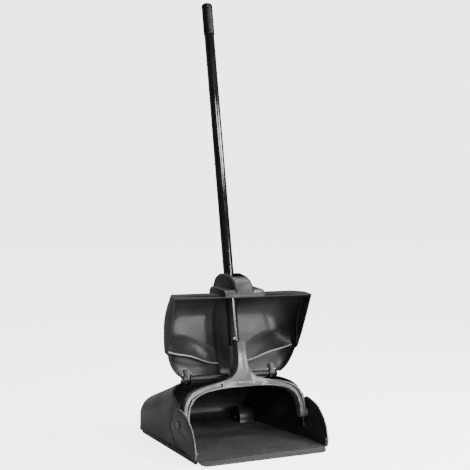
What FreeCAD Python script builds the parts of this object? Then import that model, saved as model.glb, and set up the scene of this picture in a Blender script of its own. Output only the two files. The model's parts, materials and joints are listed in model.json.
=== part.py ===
"""Upright lobby dustpan with a hinged cover, a yoke and a tube handle.

Millimetres. X is the width, the mouth faces -Y and +Z is up. Shapes are drawn with the lip's front edge
at y = 0, and each piece's Placement moves them so that the origin is the middle of the footprint.
Pieces of the handle are drawn in the handle's own frame: origin at the yoke's pivot, Z along the tube.
"""
import FreeCAD, Part
import math
import os
import Sketcher
from FreeCAD import Placement, Rotation, Vector

doc = FreeCAD.newDocument("LobbyDustpan")
sheet = doc.addObject("Spreadsheet::Sheet", "Sheet")

DIMENSIONS = {
    # pan
    "lip_width": 286.0,
    "pan_length": 338.0,
    "pan_half_width": 146.0,
    "wall": 3.0,
    "underside": 7.0,
    "floor_top": 10.0,
    "ear_step": 4.5,
    "rail_overhang": 3.5,
    "skid_inset": 1.5,
    "skid_band": 7.0,
    "rivet_radius": 2.1,
    "rivet_proud": 1.2,
    # handle pivot and cover hinge, measured from the lip
    "pivot_y": 98.5,
    "pivot_z": 62.0,
    "pivot_pin_radius": 4.0,
    "hinge_x": 101.0,
    "hinge_y": 168.0,
    "hinge_z": 138.0,
    "hinge_pin_radius": 2.5,
    "lug_pitch": 7.6,
    "lug_thickness": 3.6,
    "lug_radius": 8.5,
    # handle
    "handle_lean": 12.16,
    "tube_offset": 21.2,
    "tube_radius": 11.0,
    "tube_wall": 1.4,
    "tube_start": 80.0,
    "tube_end": 902.0,
    "grip_start": 838.0,
    "grip_radius": 12.2,
    "handle_top": 910.0,
    "yoke_front": 12.0,
    "yoke_rib": 3.2,
    "yoke_web": 3.4,
    "leg_inner": 128.0,
    "leg_outer": 140.5,
    "socket_radius": 13.4,
    "socket_start": 72.0,
    "socket_end": 150.0,
    "button_height": 165.0,
    "button_turn": 28.0,
    "button_radius": 3.5,
    "button_travel": 3.0,
    # wheels
    "wheel_x": 91.0,
    "wheel_y": 286.0,
    "wheel_radius": 19.0,
    "wheel_width": 22.0,
    "wheel_lift": 0.6,
    "axle_radius": 3.0,
    "well_radius": 24.0,
    "well_half_width": 18.0,
    # cover
    "cover_wall": 2.6,
    "barrel_radius": 6.2,
    "channel_half_width": 24.0,
    "channel_round": 9.0,
    "slot_half_width": 14.6,
    "slot_start": 135.0,
    "slot_length": 80.0,
    "running_clearance": 0.06,
    "gap": 0.3,
}
for row, (alias, value) in enumerate(DIMENSIONS.items(), start=1):
    sheet.set(f"A{row}", alias)
    sheet.set(f"B{row}", str(value))
    sheet.setAlias(f"B{row}", alias)
doc.recompute()


def dim(alias):
    return float(getattr(sheet, alias))


HALF_LENGTH = dim("pan_length") / 2
FAR = 400.0
HOME = Placement(Vector(0, -HALF_LENGTH, 0), Rotation())
HANDLE_HOME = Placement(
    Vector(0, dim("pivot_y") - HALF_LENGTH, dim("pivot_z")),
    Rotation(Vector(1, 0, 0), -dim("handle_lean")),
)
made = []


def finish(obj, label, placement=None):
    """Give a document object its label and placement and put it on the list of sub-parts."""
    obj.Label = label
    if placement is not None:
        obj.Placement = placement
    made.append(obj)
    return obj


def feature(label, shape, placement):
    obj = doc.addObject("Part::Feature", label)
    obj.Shape = shape
    return finish(obj, label, placement * shape.Placement)


def side_slab(points, x_low, x_high, smooth=False):
    """Extrude an outline drawn in the YZ plane from x_low to x_high."""
    corners = [Vector(x_low, y, z) for y, z in points]
    if smooth:
        curve = Part.BSplineCurve()
        curve.interpolate(corners)
        wire = Part.Wire([curve.toShape(), Part.makeLine(corners[-1], corners[0])])
    else:
        wire = Part.makePolygon(corners + corners[:1])
    return Part.Face(wire).extrude(Vector(x_high - x_low, 0, 0))


def front_slab(points, y_low, y_high):
    """Extrude an outline drawn in the XZ plane from y_low to y_high."""
    corners = [Vector(x, y_low, z) for x, z in points]
    wire = Part.makePolygon(corners + corners[:1])
    return Part.Face(wire).extrude(Vector(0, y_high - y_low, 0))


def both_sides(shape):
    """The shape and its mirror image across the middle plane."""
    return [shape, shape.mirror(Vector(0, 0, 0), Vector(1, 0, 0))]


def x_cylinder(radius, x_low, x_high, y, z):
    return Part.makeCylinder(radius, x_high - x_low, Vector(x_low, y, z), Vector(1, 0, 0))


def smooth_rows(rows, steps):
    """Put extra rows between the given ones, each column running on a cubic curve over the first column."""
    slopes = []
    for i in range(len(rows)):
        before = rows[max(i - 1, 0)]
        after = rows[min(i + 1, len(rows) - 1)]
        span = after[0] - before[0]
        slopes.append([(b - a) / span for a, b in zip(before, after)])
    result = []
    for i in range(len(rows) - 1):
        span = rows[i + 1][0] - rows[i][0]
        for k in range(steps):
            t = k / steps
            weights = (2 * t**3 - 3 * t**2 + 1, (t**3 - 2 * t**2 + t) * span, 3 * t**2 - 2 * t**3, (t**3 - t**2) * span)
            ends = zip(rows[i], slopes[i], rows[i + 1], slopes[i + 1])
            row = [sum(w * v for w, v in zip(weights, column)) for column in ends]
            row[0] = rows[i][0] + t * span
            result.append(row)
    result.append(list(rows[-1]))
    return result


# ---------------------------------------------------------------- pan
# Cross-sections of the moulding: station y, extra half width, lift of the bottom, top, radius of the roof's corners.
PAN_SECTIONS = [
    (0.0, 0.0, 0.0, 134.0, 6.0),
    (100.0, 0.0, 0.0, 134.0, 8.0),
    (140.0, 0.0, 0.0, 134.0, 24.0),
    (172.0, 0.0, 0.0, 132.0, 42.0),
    (215.0, 1.0, 0.0, 117.0, 46.0),
    (258.0, 2.5, 0.0, 101.0, 46.0),
    (296.0, 3.5, 0.0, 87.0, 44.0),
    (314.0, 1.0, 2.0, 79.0, 38.0),
    (327.0, -6.0, 6.0, 69.0, 31.0),
    (335.0, -17.0, 13.0, 58.0, 20.0),
    (338.0, -30.0, 22.0, 46.0, 10.0),
]
SECTION_STEPS = 3


def pan_section(station, extra, lift, top, radius, inset, bottom):
    half = dim("pan_half_width") + extra - inset
    y = station - (inset if station > 300 else 0)
    low = bottom + max(lift, 0.0)
    high = top - inset
    r = max(radius - inset, 3.0)
    k = r * (1 - math.sqrt(0.5))
    p = [
        Vector(-half, y, low), Vector(half, y, low), Vector(half, y, high - r),
        Vector(half - r, y, high), Vector(r - half, y, high), Vector(-half, y, high - r),
    ]
    return Part.Wire([
        Part.makeLine(p[0], p[1]),
        Part.makeLine(p[1], p[2]),
        Part.Arc(p[2], Vector(half - k, y, high - k), p[3]).toShape(),
        Part.makeLine(p[3], p[4]),
        Part.Arc(p[4], Vector(k - half, y, high - k), p[5]).toShape(),
        Part.makeLine(p[5], p[0]),
    ])


def pan_solid(inset, bottom):
    wires = [pan_section(*values, inset, bottom) for values in smooth_rows(PAN_SECTIONS, SECTION_STEPS)]
    return Part.makeLoft(wires, True, True)


# Height, half width at the mouth and half width at the rear of the space the dirt is swept into.
ROOM_LEVELS = [(9.0, 150.0, 104.0), (140.0, 156.0, 158.0)]
ROOM_FRONT, ROOM_TURN, ROOM_REAR = -30.0, 30.0, 345.0


def room_outline(z, mouth_half, rear_half):
    right = [(mouth_half, ROOM_FRONT), (mouth_half, ROOM_TURN), (rear_half, ROOM_REAR)]
    left = [(-x, y) for x, y in reversed(right)]
    corners = [Vector(x, y, z) for x, y in right + left]
    return Part.makePolygon(corners + corners[:1])


EAR_EDGE = [(15, 10), (13.5, 22), (16.5, 34), (20, 46), (31, 64), (54, 83.5), (78, 91.5), (101, 96)]
HOOD_RIM = [(120, 104), (150, 121), (173, 129)]
EAR_REAR = [(112, 91), (127, 80), (129, 66), (140, 58), (141, 50), (133, 42), (126, 38), (122, 26), (98, 20)]


def rounded_footprint(half, y_low, y_high, radius, z_low, z_high):
    """A slab with square front corners and rounded rear corners."""
    k = radius * (1 - math.sqrt(0.5))
    wire = Part.Wire([
        Part.makeLine(Vector(-half, y_low, z_low), Vector(half, y_low, z_low)),
        Part.makeLine(Vector(half, y_low, z_low), Vector(half, y_high - radius, z_low)),
        Part.Arc(Vector(half, y_high - radius, z_low), Vector(half - k, y_high - k, z_low),
                 Vector(half - radius, y_high, z_low)).toShape(),
        Part.makeLine(Vector(half - radius, y_high, z_low), Vector(radius - half, y_high, z_low)),
        Part.Arc(Vector(radius - half, y_high, z_low), Vector(k - half, y_high - k, z_low),
                 Vector(-half, y_high - radius, z_low)).toShape(),
        Part.makeLine(Vector(-half, y_high - radius, z_low), Vector(-half, y_low, z_low)),
    ])
    return Part.Face(wire).extrude(Vector(0, 0, z_high - z_low))


def make_pan_body():
    half = dim("pan_half_width")
    wall = dim("wall")
    low = dim("underside")
    floor = dim("floor_top")
    rail_half = half + dim("rail_overhang")
    outer = pan_solid(0.0, low)
    rail = rounded_footprint(rail_half, 12, 327, 22, low + 0.5, low + 5)
    shell = outer.fuse(rail)

    # the inside: open towards the mouth, its side walls closing in towards the rear and leaning outwards
    room = Part.makeLoft([room_outline(*level) for level in ROOM_LEVELS], True, True)
    inner = pan_solid(wall, floor).common(room)
    shell = shell.cut(inner)

    # ears: the front of each wall steps outwards
    ear = side_slab(EAR_EDGE + EAR_REAR, half - wall, half + dim("ear_step"))
    recess_outline = [(-20, 24), (34, 26), (90, 28), (103, 34), (107, 46), (107, 140), (-20, 140)]
    recess = side_slab(recess_outline, half - wall - 2, half + dim("ear_step") - wall)
    for piece in both_sides(ear):
        shell = shell.fuse(piece)
    for piece in both_sides(recess):
        shell = shell.cut(piece)

    # the mouth
    mouth = [(-60, -20), (-60, 300), (173, 300)] + HOOD_RIM[::-1] + EAR_EDGE[::-1] + [(15, -20)]
    shell = shell.cut(side_slab(mouth, -FAR, FAR))

    # lip
    lip_half = dim("lip_width") / 2
    lip = side_slab([(0, 0.8), (0, 3.0), (26, floor), (70, floor), (70, low), (20, low)], -lip_half, lip_half)
    corner = 16
    trim = Part.makeBox(corner, corner, 30, Vector(lip_half - corner, 0, -5))
    trim = trim.cut(Part.makeCylinder(corner, 30, Vector(lip_half - corner, corner, -5)))
    for piece in both_sides(trim):
        lip = lip.cut(piece)
    shell = shell.fuse(lip)

    # wheel wells
    wx = dim("wheel_x")
    wy = dim("wheel_y")
    wz = dim("wheel_radius") + dim("wheel_lift")
    reach = dim("well_half_width")
    well = x_cylinder(dim("well_radius"), wx - reach, wx + reach, wy, wz)
    well = well.fuse(Part.makeBox(2 * reach, 2 * dim("well_radius"), wz,
                                  Vector(wx - reach, wy - dim("well_radius"), 0)))
    well = well.common(Part.makeBox(2 * FAR, 2 * FAR, FAR, Vector(-FAR, -FAR, low)))
    hollow = x_cylinder(dim("well_radius") - 2.4, wx - reach + 2.6, wx + reach - 2.6, wy, wz)
    hollow = hollow.fuse(Part.makeBox(2 * reach - 5.2, 2 * dim("well_radius") - 4.8, wz + 20,
                                      Vector(wx - reach + 2.6, wy - dim("well_radius") + 2.4, -20)))
    for piece in both_sides(well):
        shell = shell.fuse(piece)
    for piece in both_sides(hollow):
        shell = shell.cut(piece)
    bore = x_cylinder(dim("axle_radius"), wx - 40, wx + 40, wy, wz)
    for piece in both_sides(bore):
        shell = shell.cut(piece)

    # hinge lugs on the rim of the hood
    hx, hy, hz = dim("hinge_x"), dim("hinge_y"), dim("hinge_z")
    for side in (-1, 1):
        for offset in (-1, 1):
            x_mid = side * hx + offset * dim("lug_pitch")
            x_low = x_mid - dim("lug_thickness") / 2
            x_high = x_mid + dim("lug_thickness") / 2
            lug = x_cylinder(dim("lug_radius"), x_low, x_high, hy, hz)
            lug = lug.fuse(side_slab([(hy - 8.5, hz), (hy + 8.5, hz), (hy + 16, 126), (hy - 2, 124)], x_low, x_high))
            shell = shell.fuse(lug)
    shell = shell.cut(x_cylinder(dim("hinge_pin_radius"), -FAR, FAR, hy, hz).common(
        Part.makeBox(2 * FAR, 30, 30, Vector(-FAR, hy - 15, hz - 15))))

    # pivot bores through the ears
    shell = shell.cut(x_cylinder(dim("pivot_pin_radius"), -FAR, FAR, dim("pivot_y"), dim("pivot_z")))
    shell = shell.removeSplitter()
    return feature("pan_body", shell, HOME)


def make_skid_frame():
    half = dim("pan_half_width") - dim("skid_inset")
    band = dim("skid_band")
    top = dim("underside")
    ring = rounded_footprint(half, 26, 323, 20, 0, top)
    ring = ring.cut(rounded_footprint(half - band, 0, 323 - band, 14, -1, top + 1))
    front = side_slab([(20, -1), (20, 8), (40, 8), (26, -1)], -FAR, FAR)
    ring = ring.cut(front)
    return feature("skid_frame", ring, HOME)


# Rivets of one side: station y, height z, and how far the face that carries them stands out from the wall.
RIVET_PLACES = [(24.0, 15.5, "ear_step"), (150.0, 9.75, "rail_overhang"), (280.0, 9.75, "rail_overhang")]


def make_skid_rivets():
    """Round-headed rivets, one in front on each ear and two along each rail."""
    rivets = []
    for y, z, step in RIVET_PLACES:
        face = dim("pan_half_width") + dim(step)
        rivets += both_sides(x_cylinder(dim("rivet_radius"), face, face + dim("rivet_proud"), y, z))
    return feature("skid_rivets", Part.makeCompound(rivets), HOME)


# ---------------------------------------------------------------- round parts from primitives
def cylinder(name, radius, height):
    obj = doc.addObject("Part::Cylinder", name)
    obj.setExpression("Radius", radius)
    obj.setExpression("Height", height)
    return obj


def x_placement(x, y, z):
    """Placement for a cylinder drawn along Z that has to lie along +X from x."""
    return Placement(Vector(x, y - HALF_LENGTH, z), Rotation(Vector(0, 1, 0), 90))


def make_wheel(label, side):
    body = doc.addObject("PartDesign::Body", label + "_body")
    plane = [f for f in body.Origin.OriginFeatures if f.Role == "YZ_Plane"][0]
    sketch = body.newObject("Sketcher::SketchObject", label + "_section")
    sketch.AttachmentSupport = (plane, "")
    sketch.MapMode = "FlatFace"
    sketch.addGeometry(Part.Circle(Vector(0, 0, 0), Vector(0, 0, 1), dim("wheel_radius")), False)
    sketch.addGeometry(Part.Circle(Vector(0, 0, 0), Vector(0, 0, 1), dim("axle_radius")), False)
    sketch.addConstraint(Sketcher.Constraint("Coincident", 0, 3, -1, 1))
    sketch.addConstraint(Sketcher.Constraint("Coincident", 1, 3, -1, 1))
    rim = sketch.addConstraint(Sketcher.Constraint("Radius", 0, dim("wheel_radius")))
    bore = sketch.addConstraint(Sketcher.Constraint("Radius", 1, dim("axle_radius")))
    sketch.setExpression(f"Constraints[{rim}]", "Sheet.wheel_radius")
    sketch.setExpression(f"Constraints[{bore}]", "Sheet.axle_radius + Sheet.running_clearance")
    pad = body.newObject("PartDesign::Pad", label + "_pad")
    pad.Profile = sketch
    pad.Midplane = True
    pad.setExpression("Length", "Sheet.wheel_width")
    doc.recompute()
    rim_edges = [f"Edge{i}" for i, edge in enumerate(pad.Shape.Edges, start=1)
                 if edge.Curve.TypeId == "Part::GeomCircle" and edge.Curve.Radius > 10]
    chamfer = body.newObject("PartDesign::Fillet", label + "_tyre")
    chamfer.Base = (pad, rim_edges)
    chamfer.Radius = 4
    body.Tip = chamfer
    centre = Vector(side * dim("wheel_x"), dim("wheel_y") - HALF_LENGTH, dim("wheel_radius") + dim("wheel_lift"))
    return finish(body, label, Placement(centre, Rotation()))


def make_axle(label, side):
    """The pin reaches from one wall of the wheel well to just outside the other."""
    obj = cylinder(label, "Sheet.axle_radius", "2 * Sheet.well_half_width + 8")
    x = side * dim("wheel_x") - dim("well_half_width") - 4
    return finish(obj, label, x_placement(x, dim("wheel_y"), dim("wheel_radius") + dim("wheel_lift")))


def make_axle_cap(label, side):
    """A push-on cap on the inner end of the axle."""
    cap = cylinder(label + "_disc", "Sheet.axle_radius + 3.5", "3.6")
    hole = cylinder(label + "_hole", "Sheet.axle_radius", "10")
    hole.Placement = Placement(Vector(0, 0, -1), Rotation())
    cut = doc.addObject("Part::Cut", label)
    cut.Base = cap
    cut.Tool = hole
    edge_x = dim("wheel_x") - dim("well_half_width")
    x = edge_x - 3.6 if side > 0 else -edge_x
    return finish(cut, label, x_placement(x, dim("wheel_y"), dim("wheel_radius") + dim("wheel_lift")))


def make_pivot_pin(label, side):
    """A headed pin: shank through the ear, the washer and the yoke's leg."""
    outside = dim("pan_half_width") + dim("ear_step")
    shank = cylinder(label + "_shank", "Sheet.pivot_pin_radius",
                     "Sheet.pan_half_width + Sheet.ear_step - Sheet.leg_inner - 1")
    head = cylinder(label + "_head", "Sheet.pivot_pin_radius + 4", "2.2")
    length = outside - dim("leg_inner") - 1
    head.Placement = Placement(Vector(0, 0, length), Rotation())
    fuse = doc.addObject("Part::Fuse", label)
    fuse.Base = shank
    fuse.Tool = head
    turn = Rotation(Vector(0, 1, 0), 90 * side)
    x = side * (outside - length)
    place = Placement(Vector(x, dim("pivot_y") - HALF_LENGTH, dim("pivot_z")), turn)
    return finish(fuse, label, place)


def make_pivot_washer(label, side):
    disc = cylinder(label + "_disc", "Sheet.pivot_pin_radius + 4.5",
                    "Sheet.pan_half_width + Sheet.ear_step - Sheet.wall - Sheet.leg_outer - 2 * Sheet.gap")
    hole = cylinder(label + "_hole", "Sheet.pivot_pin_radius + Sheet.running_clearance", "40")
    hole.Placement = Placement(Vector(0, 0, -10), Rotation())
    cut = doc.addObject("Part::Cut", label)
    cut.Base = disc
    cut.Tool = hole
    turn = Rotation(Vector(0, 1, 0), 90 * side)
    place = Placement(Vector(side * (dim("leg_outer") + dim("gap")), dim("pivot_y") - HALF_LENGTH,
                             dim("pivot_z")), turn)
    return finish(cut, label, place)


def make_hinge_pin(label, side):
    obj = cylinder(label, "Sheet.hinge_pin_radius", "2 * Sheet.lug_pitch + Sheet.lug_thickness + 1.6")
    reach = dim("lug_pitch") + dim("lug_thickness") / 2 + 0.8
    return finish(obj, label, x_placement(side * dim("hinge_x") - reach, dim("hinge_y"), dim("hinge_z")))


# ---------------------------------------------------------------- handle
YOKE_OUTER = [(9.5, 157), (9.5, 125), (11, 110), (15, 99), (21, 90), (30, 83.5), (45, 79), (64, 75), (84, 72),
              (103, 67.5), (118, 60.5), (130, 50), (137, 36), (140.5, 18), (140.5, -9)]
YOKE_INNER = [(128, -9), (128, 14), (125, 31), (117, 44), (104, 53), (86, 59), (62, 62.5), (30, 64.5)]


def mirrored(points):
    return [(-x, z) for x, z in reversed(points)]


def make_yoke():
    front = -dim("yoke_front")
    back = dim("yoke_front")
    rib = dim("yoke_rib")
    outline = YOKE_OUTER + YOKE_INNER + mirrored(YOKE_OUTER + YOKE_INNER)
    arch = front_slab(outline, front, back)
    side = side_slab([(front, 157), (front, 40), (-9, 8), (-9, 0), (-7.8, -4.5), (-4.5, -7.8), (0, -9), (4.5, -7.8),
                      (7.8, -4.5), (9, 0), (9, 8), (back, 40), (back, 120), (9, 157)], -FAR, FAR)
    yoke = arch.common(side)

    # channels in the front and the back of the arms, with ribs left all round
    corners = [Vector(x, 0, z) for x, z in outline]
    face = Part.Face(Part.makePolygon(corners + corners[:1]))
    pocket_face = face.makeOffset2D(-rib)
    web_back = front + 6.0 + dim("yoke_web")
    back_pocket = pocket_face.extrude(Vector(0, FAR, 0))
    back_pocket.translate(Vector(0, web_back, 0))
    front_pocket = pocket_face.extrude(Vector(0, FAR, 0))
    front_pocket.translate(Vector(0, front + 6.0 - FAR, 0))
    keep_boss = Part.makeBox(2 * FAR, 4 * FAR, 2 * FAR, Vector(-FAR, -2 * FAR, 10))
    arms_only = keep_boss.cut(Part.makeBox(100, 4 * FAR, 4 * FAR, Vector(-50, -2 * FAR, -FAR)))
    yoke = yoke.cut(front_pocket.common(arms_only))
    rear_zone = keep_boss.cut(Part.makeBox(36, 4 * FAR, 4 * FAR, Vector(-18, -2 * FAR, -FAR)))
    yoke = yoke.cut(back_pocket.common(rear_zone))

    # socket for the tube behind the neck
    offset = dim("tube_offset")
    start, end = dim("socket_start"), dim("socket_end")
    sleeve = Part.makeCylinder(dim("socket_radius"), end - start, Vector(0, offset, start))
    web = Part.makeBox(17, offset, end - start, Vector(-8.5, 0, start))
    yoke = yoke.fuse(sleeve).fuse(web)
    bore = Part.makeCylinder(dim("tube_radius"), FAR, Vector(0, offset, dim("tube_start")))
    yoke = yoke.cut(bore)
    pin = x_cylinder(dim("pivot_pin_radius") + dim("running_clearance"), -FAR, FAR, 0, 0)
    yoke = yoke.cut(pin)

    # plain raised pad on the middle of the bridge
    stretch = FreeCAD.Matrix()
    stretch.scale(Vector(17, 1, 5.5))
    pad = Part.makeCylinder(1, 2.2, Vector(0, 0, 0), Vector(0, 1, 0)).transformGeometry(stretch)
    pad.translate(Vector(0, front - 1.0, 74))
    yoke = yoke.fuse(pad)
    return feature("yoke", yoke.removeSplitter(), HANDLE_HOME)


def button_axis():
    turn = math.radians(dim("button_turn"))
    return Vector(-math.sin(turn), -math.cos(turn), 0)


def make_handle_tube():
    offset = dim("tube_offset")
    start, end = dim("tube_start"), dim("tube_end")
    tube = Part.makeCylinder(dim("tube_radius"), end - start, Vector(0, offset, start))
    tube = tube.cut(Part.makeCylinder(dim("tube_radius") - dim("tube_wall"), end, Vector(0, offset, start - 1)))
    hole = Part.makeCylinder(dim("button_radius") + dim("running_clearance"), 20,
                             Vector(0, offset, dim("button_height")), button_axis())
    return feature("handle_tube", tube.cut(hole), HANDLE_HOME)


def make_snap_button():
    """A domed button that stands proud of the tube and slides inwards."""
    axis = button_axis()
    centre = Vector(0, dim("tube_offset"), dim("button_height"))
    inside = dim("tube_radius") - dim("tube_wall") - 3.0
    length = 3.0 + dim("tube_wall") + dim("button_travel") + 0.4
    button = Part.makeCylinder(dim("button_radius"), length, centre + axis * inside, axis)
    rim = [e for e in button.Edges if e.Curve.TypeId == "Part::GeomCircle"
           and (e.Curve.Center - centre).Length > inside + 2]
    button = button.makeFillet(1.6, rim)
    return feature("snap_button", button, HANDLE_HOME)


def make_button_spring():
    """A bent strip behind the button, drawn as it sits when the button is pressed."""
    axis = button_axis()
    reach = dim("tube_radius") - dim("tube_wall") - 3.0 - dim("button_travel") - dim("gap")
    far = -(dim("tube_radius") - dim("tube_wall") - 1.4)
    path = [(reach, 5), (reach - 0.6, 5), (far + 0.7, -31), (far + 0.7, 8), (far, 8), (far, -36), (far + 1.6, -36),
            (reach, -4)]
    centre = Vector(0, dim("tube_offset"), dim("button_height"))
    points = [centre + axis * u + Vector(0, 0, w) for u, w in path]
    face = Part.Face(Part.makePolygon(points + points[:1]))
    across = axis.cross(Vector(0, 0, 1))
    strip = face.extrude(across * 5.0)
    strip.translate(across * -2.5)
    return feature("button_spring", strip, HANDLE_HOME)


def make_grip_sleeve():
    offset = dim("tube_offset")
    start = dim("grip_start")
    sleeve = Part.makeCylinder(dim("grip_radius"), dim("tube_end") - start, Vector(0, offset, start))
    bore = dim("tube_radius") + dim("running_clearance") / 2
    sleeve = sleeve.cut(Part.makeCylinder(bore, FAR, Vector(0, offset, start - 1)))
    return feature("grip_sleeve", sleeve, HANDLE_HOME)


def make_end_cap():
    """A plug with a domed head that closes the top of the tube."""
    offset = dim("tube_offset")
    start, end, top = dim("tube_end") - 18, dim("tube_end"), dim("handle_top")
    stem = Part.makeCylinder(dim("tube_radius") - dim("tube_wall"), end - start, Vector(0, offset, start))
    head = Part.makeCylinder(dim("grip_radius"), top - end, Vector(0, offset, end))
    rim = [edge for edge in head.Edges if edge.BoundBox.ZMin > top - 0.1]
    cap = stem.fuse(head.makeFillet(5.5, rim))
    return feature("end_cap", cap, HANDLE_HOME)


# ---------------------------------------------------------------- cover
# Levels of the bowl: height, half width, front edge, where the side wall folds, back, how far the corner turns.
COVER_LEVELS = [
    (142.0, 116.0, 157.0, 160.0, 172.0, 40.0),
    (152.0, 129.0, 157.0, 161.0, 177.0, 42.0),
    (166.0, 139.0, 156.0, 161.0, 183.0, 44.0),
    (182.0, 145.5, 153.0, 159.0, 188.0, 46.0),
    (191.0, 148.0, 150.5, 158.0, 190.5, 46.0),
    (196.0, 153.5, 149.0, 158.0, 192.0, 46.0),
    (212.0, 155.0, 143.0, 158.0, 196.5, 46.0),
    (230.0, 155.5, 134.0, 157.0, 201.0, 48.0),
    (262.0, 157.0, 122.0, 148.0, 205.0, 56.0),
    (290.0, 158.5, 112.0, 128.0, 203.0, 76.0),
    (310.0, 159.5, 105.0, 110.0, 198.0, 100.0),
    (326.0, 160.0, 99.0, 101.0, 190.0, 116.0),
]
COVER_TOP = [(90, 312.5), (104, 313.5), (132, 317), (158, 317), (176, 311), (189, 300), (199, 285), (215, 250)]


def cover_section(level, half, front, fold, back, turn, inset):
    half = half - inset
    back = back - inset
    fold = min(fold, back - 6)
    front = front if inset == 0 else front - 60
    z = level
    shoulder = half - turn
    right = Part.BezierCurve()
    right.setPoles([Vector(half, fold, z), Vector(half, fold + 0.6 * (back - fold), z),
                    Vector(half - 0.45 * turn, back, z), Vector(shoulder, back, z)])
    left = Part.BezierCurve()
    left.setPoles([Vector(-shoulder, back, z), Vector(0.45 * turn - half, back, z),
                   Vector(-half, fold + 0.6 * (back - fold), z), Vector(-half, fold, z)])
    return Part.Wire([
        Part.makeLine(Vector(-half, front, z), Vector(half, front, z)),
        Part.makeLine(Vector(half, front, z), Vector(half, fold, z)),
        right.toShape(),
        Part.makeLine(Vector(shoulder, back, z), Vector(-shoulder, back, z)),
        left.toShape(),
        Part.makeLine(Vector(-half, fold, z), Vector(-half, front, z)),
    ])


def cover_bowl(inset):
    wires = [cover_section(*values, inset) for values in smooth_rows(COVER_LEVELS, SECTION_STEPS)]
    bowl = Part.makeLoft(wires, True, True)
    top = [(y - inset * (y > 170), z - inset) for y, z in COVER_TOP]
    profile = side_slab([(20, 100)] + [(20, top[0][1])] + top + [(215, 100)], -FAR, FAR)
    return bowl.common(profile)


CHANNEL = [(150, 141), (150, 300), (104, 309), (104.5, 322), (110, 335), (122, 346), (138, 353), (165, 357),
           (190, 355), (207, 346), (216, 330), (221, 300), (221, 262), (214, 225), (204, 190), (194, 165), (186, 150), (182, 141)]
CHANNEL_INSIDE = [(60, 141), (60, 300), (106.8, 309), (107.4, 321), (113, 333), (124.5, 343.5), (139, 350.2),
                  (165, 354), (189, 352), (205, 344), (213, 329), (218, 299), (218, 262), (211, 226), (201, 191),
                  (191, 166), (183, 150), (178.5, 139)]
ROUNDED_ABOVE = 310.0
ROUNDED_BEHIND = 104.2
PLINTH = [(104, 305), (104.3, 318), (109, 326), (172, 330), (182, 322), (182, 300), (150, 300)]
PLINTH_INSIDE = [(80, 300), (80, 309), (106.8, 309), (107, 317), (111, 323.4), (171, 327), (179, 320), (179, 300)]


def rounded_slab(points, half, radius):
    """A slab across the middle plane whose long edges above the cover's lower edge are rounded."""
    slab = side_slab(points, -half, half)
    edges = []
    for edge in slab.Edges:
        box = edge.BoundBox
        along = box.XLength < 1e-6
        if along and box.ZMax > ROUNDED_ABOVE and box.YMax > ROUNDED_BEHIND:
            edges.append(edge)
    return slab.makeFillet(radius, edges)


def make_cover():
    wall = dim("cover_wall")
    channel = dim("channel_half_width")
    outer = cover_bowl(0.0)
    outer = outer.fuse(rounded_slab(CHANNEL, channel, dim("channel_round")))
    outer = outer.fuse(side_slab(PLINTH, -46, 46))
    inner = cover_bowl(wall)
    inner = inner.fuse(rounded_slab(CHANNEL_INSIDE, channel - wall, dim("channel_round") - wall))
    inner = inner.fuse(side_slab(PLINTH_INSIDE, -43.4, 43.4))
    cover = outer.cut(inner)
    slot = Part.makeBox(2 * dim("slot_half_width"), dim("slot_length"), 60,
                        Vector(-dim("slot_half_width"), dim("slot_start"), 335))
    cover = cover.cut(slot)

    # a barrel along the hinge line closes the gap below the cover
    hx, hy, hz = dim("hinge_x"), dim("hinge_y"), dim("hinge_z")
    reach = dim("lug_pitch") - dim("lug_thickness") / 2 - dim("gap")
    barrel_end = hx - dim("lug_pitch") - dim("lug_thickness") / 2 - dim("gap")
    barrel = x_cylinder(dim("barrel_radius"), -barrel_end, barrel_end, hy, hz)
    cover = cover.fuse(barrel)

    # knuckles between the pan's lugs, each with an arm up to the cover's lower edge
    for side in (-1, 1):
        low, high = side * hx - reach, side * hx + reach
        knuckle = x_cylinder(dim("barrel_radius"), low, high, hy, hz)
        arm = side_slab([(hy - 6, hz + 1), (hy + 5.5, hz + 1), (hy + 12, 156), (hy + 4, 158)], low, high)
        cover = cover.fuse(knuckle.fuse(arm))
        for offset in (-1, 1):
            x_mid = side * hx + offset * dim("lug_pitch")
            relief = x_cylinder(dim("lug_radius") + 0.8, x_mid - dim("lug_thickness") / 2 - dim("gap"),
                                x_mid + dim("lug_thickness") / 2 + dim("gap"), hy, hz)
            cover = cover.cut(relief)
    pin = x_cylinder(dim("hinge_pin_radius") + dim("running_clearance"), -FAR, FAR, hy, hz)
    cover = cover.cut(pin)
    return feature("cover", cover.removeSplitter(), HOME)


make_pan_body()
make_skid_frame()
make_skid_rivets()
for side, name in ((-1, "left"), (1, "right")):
    make_wheel("wheel_" + name, side)
    make_axle("axle_" + name, side)
    make_axle_cap("axle_cap_" + name, side)
    make_pivot_pin("pivot_pin_" + name, side)
    make_pivot_washer("pivot_washer_" + name, side)
    make_hinge_pin("hinge_pin_" + name, side)
make_yoke()
make_handle_tube()
make_snap_button()
make_button_spring()
make_grip_sleeve()
make_end_cap()
make_cover()

doc.recompute()
for obj in doc.Objects:
    state = [s for s in obj.State if s in ("Invalid", "Error")]
    if state:
        raise RuntimeError(f"{obj.Name}: {state}")
os.makedirs("parts", exist_ok=True)
for obj in made:
    shape = obj.Shape
    if shape.isNull() or not shape.isValid():
        raise RuntimeError(f"{obj.Label}: the shape is null or not valid")
    shape.exportStep(f"parts/{obj.Label}.step")
    box = shape.BoundBox
    print(f"{obj.Label:20s} solids {len(shape.Solids)} volume {shape.Volume / 1000:9.2f} cm3  "
          f"x {box.XMin:7.1f} {box.XMax:7.1f}  y {box.YMin:7.1f} {box.YMax:7.1f}  z {box.ZMin:7.1f} {box.ZMax:7.1f}")
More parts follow.
